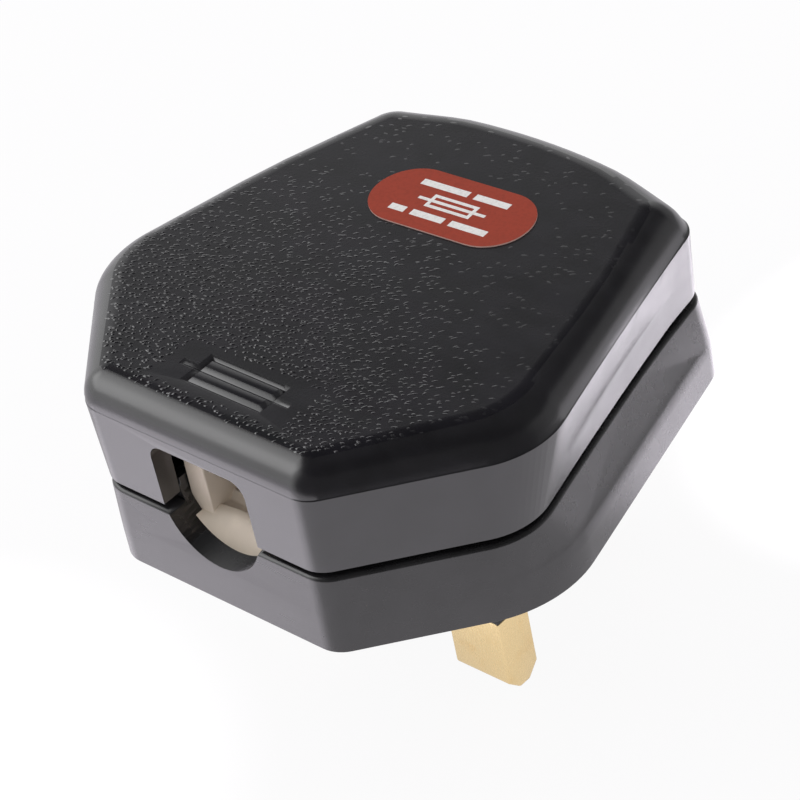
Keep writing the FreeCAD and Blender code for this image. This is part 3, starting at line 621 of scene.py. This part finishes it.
@dataclass
class CoverAssembly:
    """The cover with its grained top and a sunk fuse sign near the cable end."""

    sign: FuseSign
    sign_depth: float = 0.36 * MM
    sign_slope: float = 0.36 * MM
    patch_length: float = 15.4 * MM
    patch_width: float = 5.6 * MM
    rim: float = 8.95 * MM
    brow: float = 16.9 * MM
    far_corner: Vector = Vector((16.0, 24.4)) * MM
    far_ease: float = 1.0 * MM
    far_reach: float = 9.0 * MM
    far_edge: Vector = Vector((17.6, 27.0)) * MM
    far_edge_reach: float = 4.0 * MM
    far_edge_push: Span = (0.05 * MM, 0.3 * MM)
    shoulder: Vector = Vector((23.6, -1.5)) * MM
    shoulder_ease: float = 0.9 * MM
    shoulder_reach: float = 11.0 * MM
    crown_power: float = 0.6
    crown_way: float = -0.5
    side_out: float = 0.93
    side_way: Span = (0.21, 0.275)
    # The hollow's deepest line runs from one end to the other, each as y and z.
    hollow_near: Vector = Vector((0.5, 12.3)) * MM
    hollow_far: Vector = Vector((23.5, 12.8)) * MM
    hollow_depth: float = 0.18 * MM
    hollow_step: float = 0.2 * MM
    hollow_power: float = 0.8
    hollow_slices: int = 18
    hollow_lines: tuple[float, ...] = (-1.4 * MM, -0.3 * MM, 0.0, 1.4 * MM, 2.8 * MM)
    ledge: float = 0.03 * MM
    crisp: float = 28.0
    grain_pitch: float = 0.57 * MM
    grain_jitter: Span = (-0.45, 0.45)
    grain_length: Span = (0.32 * MM, 0.75 * MM)
    grain_width: Span = (0.18 * MM, 0.3 * MM)
    grain_rise: Span = (0.032 * MM, 0.068 * MM)
    grain_turn: float = 0.49
    grain_spread: float = 0.32
    grain_sides: int = 7
    grain_flank: float = 0.7
    grain_sunk: float = 0.1
    grain_crisp: float = 100.0
    grain_tilt: float = 0.95
    # Share of the grain at the near end, what it loses across and along the top, and the least that stays.
    grain_full: float = 1.75
    grain_loss: Span = (1.0, 2.3)
    grain_fade: float = 0.08
    grain_sparse: float = 0.04
    seed: int = 13

    def __post_init__(self) -> None:
        """Read the boxes of the cover and of the label on it."""
        self.low, self.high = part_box("cover")
        self.label_low, self.label_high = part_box("rating_label")
        self.top: float = self.high.z

    def build(self) -> None:
        """Build the shell and the grain on it."""
        shell = self.build_shell()
        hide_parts("cover")
        self.build_grain(shell)

    def sign_cutter(self) -> bpy.types.Object:
        """Build the shape that the sign sinks into the top.

        Returns:
            The cutter.
        """
        shape = self.sign.flat(self.top)
        sheet = list(shape.faces)
        raised = bmesh.ops.extrude_face_region(shape, geom=sheet, use_keep_orig=True)["geom"]
        bmesh.ops.translate(shape, verts=corners_in(raised), vec=UP * self.sign_depth)
        bmesh.ops.inset_region(shape, faces=sheet, thickness=self.sign_slope, use_even_offset=True)
        for corner in corners_in(parts_of(sheet)):
            corner.co.z = self.top - self.sign_depth
        bmesh.ops.recalc_face_normals(shape, faces=shape.faces)
        return placed("sign_cutter", mesh_of("sign_cutter", shape))

    def build_shell(self) -> bpy.types.Object:
        """Copy the cover, shape its walls and crown, and sink the sign into its top.

        Returns:
            The shell.
        """
        shape = copy_of_node("cover")
        relay_band(shape, self.rim, self.brow)
        self.hollow_sides(shape)
        self.ease_corners(shape)
        self.raise_ledge(shape)
        shell = finished("cover_shell", shape,
                         (Finishes.COVER_SIDE.material(), Finishes.COVER_TOP.material()))
        cutter = self.sign_cutter()
        sink = shell.modifiers.new("sink", "BOOLEAN")
        sink.object = cutter
        sink.operation = "DIFFERENCE"
        sink.solver = "EXACT"
        view = bpy.context.evaluated_depsgraph_get()
        cut_mesh = bpy.data.meshes.new_from_object(shell.evaluated_get(view))
        shell.modifiers.clear()
        shell.data = cut_mesh
        bpy.data.objects.remove(cutter)
        self.dress_shell(shell)
        return shell

    def ease_corners(self, shape: bmesh.types.BMesh) -> None:
        """Widen the rounded rim at the upper corners and fill the wall at the far ones.

        Args:
            shape: The cover.
        """
        middle = Vector((0.0, (self.shoulder.y + self.far_corner.y) / 2))
        for corner in shape.verts:
            height = max((corner.co.z - self.brow) / (self.top - self.brow), 0.0) ** self.crown_power
            for place, ease, reach in ((self.far_corner, self.far_ease, self.far_reach),
                                       (self.shoulder, self.shoulder_ease, self.shoulder_reach)):
                side = Vector((math.copysign(place.x, corner.co.x), place.y))
                share = max(1.0 - ((corner.co.xy - side).length / reach) ** 2, 0.0) ** 2
                move = (middle - side).normalized() * (ease * share * height)
                corner.co += Vector((*move, 0.0))
            if corner.co.z < self.brow + TOUCH:
                lower = (self.brow - corner.co.z) / (self.brow - self.rim)
                push = self.far_edge_push[0] + self.far_edge_push[1] * lower
                corner.co += push_out(corner.co, self.far_edge, self.far_edge_reach, push)

    def hollow_sides(self, shape: bmesh.types.BMesh) -> None:
        """Press a shallow finger grip into each side wall, with its deepest line rising to the far end.

        Args:
            shape: The cover.
        """
        near, far = self.hollow_near, self.hollow_far
        walls = outside(shape, [face for face in shape.faces if self.on_wall(face) and self.faces_side(face)])
        panels = bmesh.ops.dissolve_faces(shape, faces=walls)["region"]
        slope = (far.y - near.y) / (far.x - near.x)
        cuts = [(Vector((0.0, near.x + (far.x - near.x) * step / self.hollow_slices, 0.0)), Vector((0.0, 1.0, 0.0)))
                for step in range(self.hollow_slices + 1)]
        cuts += [(Vector((0.0, near.x, near.y + lift)), Vector((0.0, -slope, 1.0)).normalized())
                 for lift in self.hollow_lines]
        patch = parts_of(panels)
        for place, normal in cuts:
            patch = bmesh.ops.bisect_plane(shape, geom=patch, dist=HAIR, plane_co=place, plane_no=normal)["geom"]
        for corner in corners_in(parts_of(part for part in patch if isinstance(part, bmesh.types.BMFace))):
            along = (corner.co.y - near.x) / (far.x - near.x)
            if 0.0 < along < 1.0:
                crease = near.y + slope * (corner.co.y - near.x)
                above = corner.co.z > crease - TOUCH
                end = self.brow if above else self.rim
                share = max(1.0 - abs((corner.co.z - crease) / (end - crease)), 0.0)
                depth = (self.hollow_depth + (0.0 if above else self.hollow_step)) * share
                corner.co.x -= math.copysign(depth * math.sin(math.pi * along) ** self.hollow_power, corner.co.x)

    def faces_side(self, face: bmesh.types.BMFace) -> bool:
        """Tell whether a face looks straight out of one of the long sides."""
        return abs(face.normal.x) > self.side_out and self.side_way[0] < face.normal.y < self.side_way[1]

    def on_wall(self, face: bmesh.types.BMFace) -> bool:
        """Tell whether a face lies between the lower rim and the mould line."""
        return self.rim < face.calc_center_median().z < self.brow

    def on_crown(self, face: bmesh.types.BMFace) -> bool:
        """Tell whether a face lies above the mould line and looks up or out."""
        return min(corner.co.z for corner in face.verts) > self.brow - TOUCH and face.normal.z > self.crown_way

    def raise_ledge(self, shape: bmesh.types.BMesh) -> None:
        """Set the crown back by a fine ledge along the mould line.

        Args:
            shape: The cover.
        """
        crown = outside(shape, [face for face in shape.faces if self.on_crown(face)])
        line = UP * (self.brow + self.ledge)
        made = bmesh.ops.bisect_plane(shape, geom=parts_of(crown), dist=HAIR, plane_co=line, plane_no=UP)["geom"]
        middle = (self.low + self.high) / 2
        for corner in [corner for corner in corners_in(made) if corner.co.z > line.z - 2 * HAIR]:
            for axis in (0, 1):
                share = 1.0 - self.ledge / (self.high[axis] - middle[axis])
                corner.co[axis] = middle[axis] + (corner.co[axis] - middle[axis]) * share

    def dress_shell(self, shell: bpy.types.Object) -> None:
        """Give the flat top its own finish and keep the creases crisp.

        Args:
            shell: The cut shell.
        """
        for face in shell.data.polygons:
            face.material_index = int(face.center.z > self.brow and face.normal.z > self.grain_tilt)
            face.use_smooth = True
        shell.data.set_sharp_from_angle(angle=math.radians(self.crisp))
        flat_faces_first(shell)

    def build_grain(self, shell: bpy.types.Object) -> None:
        """Strew the moulded grain over the flat top.

        Args:
            shell: The shell that carries it.
        """
        draw = random.Random(self.seed)
        pebble = self.pebble()
        tree = self.crown(shell)
        grain = bmesh.new()
        rows = int((self.high.y - self.low.y) / self.grain_pitch)
        columns = int((self.high.x - self.low.x) / self.grain_pitch)
        for row in range(rows):
            for column in range(columns):
                jitter = Vector((draw.uniform(*self.grain_jitter), draw.uniform(*self.grain_jitter), 0.0))
                step = Vector((column + 0.5 * (row % 2), row, 0.0)) + jitter
                above = Vector((self.low.x, self.low.y, self.top + MM)) + step * self.grain_pitch
                size = Vector((draw.uniform(*self.grain_length) / 2, draw.uniform(*self.grain_width) / 2,
                               draw.uniform(*self.grain_rise)))
                turn = Euler((0.0, 0.0, draw.gauss(self.grain_turn, self.grain_spread))).to_quaternion()
                place, normal, _, _ = tree.ray_cast(above, -UP)
                if place is None or normal.z < self.grain_tilt or self.is_bare(place):
                    continue
                tilt = UP.rotation_difference(normal)
                share = self.fade(place)
                if draw.random() > share + self.grain_sparse:
                    continue
                size.z *= share
                matrix = Matrix.LocRotScale(place, tilt @ turn, size)
                pebble.transform(matrix)
                grain.from_mesh(pebble)
                pebble.transform(matrix.inverted())
        bpy.data.meshes.remove(pebble)
        finished("cover_grain", grain, (Finishes.GRAIN.material(),), sharp=self.grain_crisp)

    def pebble(self) -> bpy.types.Mesh:
        """A low mesa of unit size with sloping flanks and a sunk foot.

        Returns:
            Its mesh.
        """
        mesa = bmesh.new()
        bmesh.ops.create_cone(mesa, cap_ends=True, segments=self.grain_sides, radius1=1.0,
                              radius2=1.0 - self.grain_flank, depth=1.0)
        bmesh.ops.translate(mesa, verts=mesa.verts, vec=UP * (0.5 - self.grain_sunk))
        return mesh_of("pebble", mesa)

    def crown(self, shell: bpy.types.Object) -> BVHTree:
        """Collect the faces that carry the top's own finish in a search tree.

        Args:
            shell: The shell.

        Returns:
            The tree.
        """
        shape = bmesh.new()
        shape.from_mesh(shell.data)
        rest = [face for face in shape.faces if face.material_index == 0]
        bmesh.ops.delete(shape, geom=rest, context="FACES")
        tree = BVHTree.FromBMesh(shape)
        shape.free()
        return tree

    def fade(self, place: Vector) -> float:
        """Height of the grain at a place, softer towards the far end and the live side.

        Args:
            place: A point on the top.

        Returns:
            Its share of the full height.
        """
        along = (place.y - self.low.y) / (self.high.y - self.low.y)
        across = max(place.x, 0.0) / self.high.x
        return max(self.grain_full - self.grain_loss[1] * along - self.grain_loss[0] * across, self.grain_fade)

    def is_bare(self, place: Vector) -> bool:
        """Tell whether a place lies in the smooth patch round the sign or under the label.

        Args:
            place: A point on the top.

        Returns:
            True where there is no grain.
        """
        offset = place.xy - self.sign.middle
        in_patch = abs(offset.x) < self.patch_length / 2 and abs(offset.y) < self.patch_width / 2
        low, high = self.label_low, self.label_high
        return in_patch or (low.x < place.x < high.x and low.y < place.y < high.y)


@dataclass
class RatingLabel:
    """The red film label with plain white bars and a fuse sign."""

    film: float = 0.13 * MM
    turn: float = 3.7
    bar_rise: float = 0.8 * MM
    line_gap: float = 2.1 * MM
    word_gap: float = 0.7 * MM
    upper_words: tuple[float, ...] = (5.2 * MM, 3.8 * MM)
    lower_words: tuple[float, ...] = (1.7 * MM, 3.6 * MM, 4.0 * MM)

    def __post_init__(self) -> None:
        """Read the box of the label and lay its sign out in the middle."""
        self.low, self.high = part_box("rating_label")
        self.middle: Vector = ((self.low + self.high) / 2).xy
        self.face: float = self.low.z + self.film
        self.sign = FuseSign(self.middle, box_length=4.6 * MM, box_width=1.5 * MM, line_length=7.4 * MM,
                             stroke=0.36 * MM)

    def build(self) -> None:
        """Build the film and its print."""
        self.build_film()
        self.build_print()

    def build_film(self) -> None:
        """Copy the label a little thinner, to leave room for the ink."""
        shape = copy_of_node("rating_label")
        for corner in shape.verts:
            if corner.co.z > (self.low.z + self.high.z) / 2:
                corner.co.z = self.face
        film = finished("label_film", shape, (Finishes.LABEL.material(),))
        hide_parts("rating_label")

    def build_print(self) -> None:
        """Lay the white bars and the sign on the film."""
        ink = self.sign.flat(self.face)
        bmesh.ops.solidify(ink, geom=ink.faces, thickness=self.face - self.high.z)
        bmesh.ops.recalc_face_normals(ink, faces=ink.faces)
        for words, level in ((self.upper_words, self.line_gap), (self.lower_words, -self.line_gap)):
            start = -(sum(words) + self.word_gap * (len(words) - 1)) / 2
            for width in words:
                first = self.middle + Vector((start, level - self.bar_rise / 2))
                last = first + Vector((width, self.bar_rise))
                bar(ink, Vector((*first, self.face)), Vector((*last, self.high.z)))
                start += width + self.word_gap
        bmesh.ops.rotate(ink, verts=ink.verts, cent=Vector((*self.middle, 0.0)),
                         matrix=Matrix.Rotation(math.radians(self.turn), 3, "Z"))
        finished("label_print", ink, (Finishes.INK.material(),))


@dataclass
class BaseShell:
    """The base with a soft upper rim and sides that sweep out to its flange."""

    wall_tilt: float = 0.6
    front_way: float = -0.9
    round_faces: int = 4
    crisp: float = 28.0
    rim: float = 8.2 * MM
    rim_round: float = 0.45 * MM
    flange: float = 3.4 * MM
    flange_round: float = 0.7 * MM
    flange_end: float = 26.4 * MM
    far_edge: Vector = Vector((17.8, 27.2)) * MM
    far_edge_reach: float = 7.0 * MM
    far_edge_push: float = 0.45 * MM
    flare_height: float = 1.3 * MM
    flare_depth: float = 0.2 * MM
    flare_start: float = -9.0 * MM
    flare_end: float = 28.0 * MM
    flare_run: float = 9.0 * MM

    def build(self) -> None:
        """Build the base."""
        shape = copy_of_node("base")
        relay_band(shape, self.flange, self.rim)
        for corner in shape.verts:
            upper = max((corner.co.z - self.flange) / (self.rim - self.flange), 0.0)
            corner.co += push_out(corner.co, self.far_edge, self.far_edge_reach, self.far_edge_push * min(upper, 1.0))
        self.flare(shape)
        crease = [edge for edge in edges_at(self.walls(shape), self.flange)
                  if max(corner.co.y for corner in edge.verts) < self.flange_end]
        soften(shape, crease, self.flange_round, self.round_faces)
        soften(shape, edges_at(self.walls(shape), self.rim), self.rim_round, self.round_faces)
        base = finished("base_shell", shape, (Finishes.BASE.material(),), sharp=self.crisp)
        flat_faces_first(base)
        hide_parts("base")

    def walls(self, shape: bmesh.types.BMesh) -> list[bmesh.types.BMFace]:
        """Pick the outer walls of the base."""
        return outside(shape, [face for face in shape.faces if abs(face.normal.z) < self.wall_tilt])

    def flare(self, shape: bmesh.types.BMesh) -> None:
        """Draw the sides in above the flange, so that they sweep out to it.

        Args:
            shape: The base.
        """
        sides = parts_of(face for face in self.walls(shape) if self.on_side(face))
        line = UP * (self.flange + self.flare_height)
        made = bmesh.ops.bisect_plane(shape, geom=sides, dist=HAIR, plane_co=line, plane_no=UP)["geom_cut"]
        shape.normal_update()
        for corner in corners_in(made):
            inner = min(corner.co.y - self.flare_start, self.flare_end - corner.co.y)
            share = min(max(inner / self.flare_run, 0.0), 1.0)
            corner.co -= Vector((*corner.normal.xy, 0.0)) * (self.flare_depth * share)

    def on_side(self, face: bmesh.types.BMFace) -> bool:
        """Tell whether a face of the wall lies above the flange and behind the front."""
        return self.flange < face.calc_center_median().z < self.rim and face.normal.y > self.front_way


@dataclass
class Pins:
    """The three brass pins with softened edges."""

    edge: float = 0.22 * MM
    edge_faces: int = 3
    crisp: float = 20.0
    nodes: tuple[str, ...] = ("live_pin", "neutral_pin", "earth_pin")

    def build(self) -> None:
        """Build the pins."""
        brass = Finishes.PIN.material()
        for node in self.nodes:
            shape = copy_of_node(node)
            crisp = [edge for edge in shape.edges if self.is_outer(edge)]
            soften(shape, crisp, self.edge, self.edge_faces)
            pin = finished(node + "_body", shape, (brass,))
            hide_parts(node)

    def is_outer(self, edge: bmesh.types.BMEdge) -> bool:
        """Tell whether an edge is a crisp one below the pin face."""
        below = all(corner.co.z < -2 * NEAR for corner in edge.verts)
        return below and edge.is_manifold and edge.calc_face_angle(0.0) > math.radians(self.crisp)


@dataclass
class CordGrip:
    """The cream grip with softened edges and a sloping lip that follows the round of the entry."""

    edge: float = 0.18 * MM
    edge_faces: int = 3
    crisp: float = 35.0
    lip_half: float = 4.5 * MM
    lip_thick: float = 0.5 * MM
    lip_low: float = -16.9 * MM
    lip_high: float = -15.0 * MM
    lip_top: float = 7.4 * MM
    lip_sag: float = 0.7 * MM
    lip_power: float = 1.3
    lip_columns: int = 24
    lip_rows: int = 8
    lip_crisp: float = 60.0
    entry_round: float = 5.68 * MM
    entry_centre: float = 10.1 * MM

    def build(self) -> None:
        """Build the grip."""
        nylon = Finishes.GRIP.material()
        shape = copy_of_node("cord_grip")
        limit = math.radians(self.crisp)
        crisp = [edge for edge in shape.edges if edge.is_manifold and edge.calc_face_angle(0.0) > limit]
        soften(shape, crisp, self.edge, self.edge_faces)
        grip = finished("cord_grip_body", shape, (nylon,))
        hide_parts("cord_grip")
        self.build_lip(nylon)

    def build_lip(self, nylon: bpy.types.Material) -> None:
        """Bend a sheet from the round of the entry up to the floor of the channel.

        Args:
            nylon: Material of the grip.
        """
        lip = bmesh.new()
        bmesh.ops.create_grid(lip, x_segments=self.lip_columns, y_segments=self.lip_rows, size=1.0)
        for corner in lip.verts:
            across, rise = corner.co.x, (corner.co.y + 1.0) / 2
            low = self.entry_centre - math.sqrt(self.entry_round ** 2 - (across * self.lip_half) ** 2)
            high = self.lip_top - self.lip_sag * across ** 2
            inward = self.lip_low + (self.lip_high - self.lip_low) * rise ** self.lip_power
            corner.co = Vector((across * self.lip_half, inward, low + (high - low) * math.sin(rise * math.pi / 2)))
        bmesh.ops.recalc_face_normals(lip, faces=lip.faces)
        bmesh.ops.solidify(lip, geom=lip.faces, thickness=self.lip_thick)
        bmesh.ops.recalc_face_normals(lip, faces=lip.faces)
        finished("cord_grip_lip", lip, (nylon,), sharp=self.lip_crisp)


@dataclass
class CarriedNodes:
    """CAD nodes that keep their shape and get a finish."""

    finishes: tuple[tuple[Finish, tuple[str, ...]], ...] = (
        (Finishes.SLEEVE, ("live_pin_sleeve", "neutral_pin_sleeve")),
        (Finishes.PIN, ("live_terminal", "cover_insert")),
        (Finishes.CLIP, ("front_fuse_clip", "rear_fuse_clip")),
        (Finishes.SCREW, ("live_terminal_screw", "neutral_terminal_screw", "earth_terminal_screw", "cover_screw")),
        (Finishes.CAP, ("front_fuse_cap", "rear_fuse_cap", "fuse_strip")),
        (Finishes.CERAMIC, ("fuse_tube",)),
        (Finishes.FIBRE, ("screw_washer",)),
    )

    def dress(self) -> None:
        """Give each node its finish."""
        for finish, nodes in self.finishes:
            material = finish.material()
            for node in nodes:
                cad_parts[node].material_slots[0].material = material
                LOG.info("%s: %s", node, material.name)


# Studio


@dataclass
class Camera:
    """The photograph's camera, as an orbit round a point of the plug."""

    aim: Vector
    azimuth: float
    elevation: float
    roll: float
    distance: float
    lens: float

    def build(self) -> None:
        """Place the camera."""
        azimuth, elevation = math.radians(self.azimuth), math.radians(self.elevation)
        back = Vector((math.sin(azimuth) * math.cos(elevation), -math.cos(azimuth) * math.cos(elevation),
                       math.sin(elevation)))
        level = back.to_track_quat("Z", "Y").to_matrix().to_4x4()
        data = bpy.data.cameras.new("camera")
        data.lens = self.lens
        data.clip_start = self.distance / 100
        camera = placed("camera", data)
        camera.matrix_world = (Matrix.Translation(self.aim + back * self.distance) @ level
                               @ Matrix.Rotation(math.radians(self.roll), 4, "Z"))
        bpy.context.scene.camera = camera


@dataclass
class Lamp:
    """A lamp that hangs at a place and looks at a point, with its power in watts."""

    name: str
    place: Vector
    aim: Vector
    power: float

    def hang(self, data: bpy.types.Light) -> None:
        """Set the lamp's power and hang it.

        Args:
            data: The lamp.
        """
        data.energy = self.power
        turn = (self.place - self.aim).to_track_quat("Z", "Y").to_matrix().to_4x4()
        placed(self.name, data).matrix_world = Matrix.Translation(self.place) @ turn


@dataclass
class SoftLamp(Lamp):
    """A large square lamp."""

    size: float

    def build(self) -> None:
        """Build the lamp."""
        data = bpy.data.lights.new(self.name, "AREA")
        data.size = self.size
        self.hang(data)


@dataclass
class Spot(Lamp):
    """A spot with a soft edge and a narrow cone, whose full angle is in degrees."""

    cone: float
    soft: float = 0.6

    def build(self) -> None:
        """Build the spot."""
        data = bpy.data.lights.new(self.name, "SPOT")
        data.spot_size = math.radians(self.cone)
        data.spot_blend = self.soft
        self.hang(data)


@dataclass
class Studio:
    """A white sheet under a sweep, a soft lamp on the plug and two spots on the sheet."""

    sheet_radius: float = 0.6
    sheet_sides: int = 64
    sheet_middle: Vector = Vector((-0.376, 0.329, 0.0))
    sheet_colour: Colour = (0.92, 0.865, 0.955)
    shown_share: float = 0.92
    gloss_share: float = 0.45
    plain_level: float = 0.74
    lean: Vector = Vector((0.1, 0.16, 0.0))
    upper_span: Span = (0.515, 0.64)
    upper_level: float = 0.09
    roof_span: Span = (0.68, 0.95)
    roof_level: float = 0.3
    front: Vector = Vector((0.753, -0.658, 0.0))
    room_span: Span = (0.1, 0.55)
    room_level: float = 0.06
    side: Vector = Vector((0.36, 0.933, 0.0))
    wing_span: Span = (0.5, 0.85)
    wing_level: float = 0.28

    def build(self) -> None:
        """Build the sheet, the sweep and the lamps."""
        self.build_sheet()
        self.build_sweep()
        floor = CAD_BOX[0][2]
        SoftLamp("left_lamp", Vector((-0.5, -0.3, 0.48)), Vector(), power=1.5, size=0.6).build()
        Spot("left_spot", Vector((-0.3, -0.4, 0.55)), Vector((-0.042, -0.056, floor)), power=50.0, cone=7.0).build()
        Spot("right_spot", Vector((0.12, 0.45, 0.55)), Vector((0.022, 0.065, floor)), power=80.0, cone=5.0).build()
        bpy.context.scene.view_settings.view_transform = "Standard"

    def build_sheet(self) -> None:
        """Lay the sheet under the longest pin, with its edge in front of the plug."""
        shape = bmesh.new()
        bmesh.ops.create_circle(shape, cap_ends=True, segments=self.sheet_sides, radius=self.sheet_radius)
        bmesh.ops.translate(shape, verts=shape.verts, vec=self.sheet_middle + UP * CAD_BOX[0][2])
        floor = placed("floor", mesh_of("floor", shape))
        material = bpy.data.materials.new("white_sheet")
        material.use_nodes = True
        nodes = Nodes(material.node_tree)
        nodes.tree.nodes.remove(nodes.tree.nodes["Principled BSDF"])
        matte = nodes.add("ShaderNodeBsdfDiffuse", {"Color": self.sheet_colour})
        glow = nodes.add("ShaderNodeEmission")
        share = nodes.seen(self.shown_share, self.gloss_share)
        mix = nodes.add("ShaderNodeMixShader", {0: share, 1: matte.outputs[0], 2: glow.outputs[0]})
        nodes.feed(nodes.tree.nodes["Material Output"].inputs["Surface"], mix.outputs[0])
        floor.data.materials.append(material)

    def build_sweep(self) -> None:
        """Make the world white at the back, dim overhead and dark on the camera's side."""
        world = bpy.data.worlds.new("sweep")
        bpy.context.scene.world = world
        world.use_nodes = True
        nodes = Nodes(world.node_tree)
        way = nodes.add("ShaderNodeTexCoord").outputs["Generated"]
        height = nodes.add("ShaderNodeSeparateXYZ", {0: way}).outputs["Z"]
        leaning = nodes.math("ADD", height, nodes.dot(way, self.lean))
        sweep = nodes.range(leaning, self.upper_span, 1.0, self.upper_level)
        roof = nodes.range(height, self.roof_span, 1.0, self.roof_level)
        room = nodes.range(nodes.dot(way, self.front), self.room_span, 1.0, self.room_level)
        wing = nodes.range(nodes.dot(way, self.side), self.wing_span, 1.0, self.wing_level)
        studio = nodes.math("MULTIPLY", nodes.math("MULTIPLY", sweep, roof), nodes.math("MULTIPLY", room, wing))
        level = nodes.math("MAXIMUM", nodes.math("MULTIPLY", studio, nodes.seen(0.0, 1.0)), nodes.seen(1.0, 0.0))
        lighting = nodes.math("SUBTRACT", 1.0, nodes.seen(1.0, 1.0))
        plain = nodes.math("MULTIPLY", lighting, self.plain_level)
        nodes.feed(nodes.tree.nodes["Background"].inputs["Color"], nodes.math("ADD", level, plain))


def main() -> None:
    """Build the plug and its studio."""
    logging.basicConfig(level=logging.INFO, format="%(name)s: %(message)s")
    sign = FuseSign(Vector((0.07 * MM, -12.8 * MM)), box_length=8.6 * MM, box_width=3.2 * MM,
                    line_length=12.8 * MM, stroke=0.8 * MM)
    CoverAssembly(sign).build()
    RatingLabel().build()
    BaseShell().build()
    Pins().build()
    CordGrip().build()
    CarriedNodes().dress()
    Studio().build()
    Camera(aim=Vector((-2.479, 7.025, 3.403)) * MM, azimuth=48.853, elevation=37.152, roll=-12.114,
           distance=328.97 * MM, lens=164.12).build()


if __name__ == "__main__":
    main()
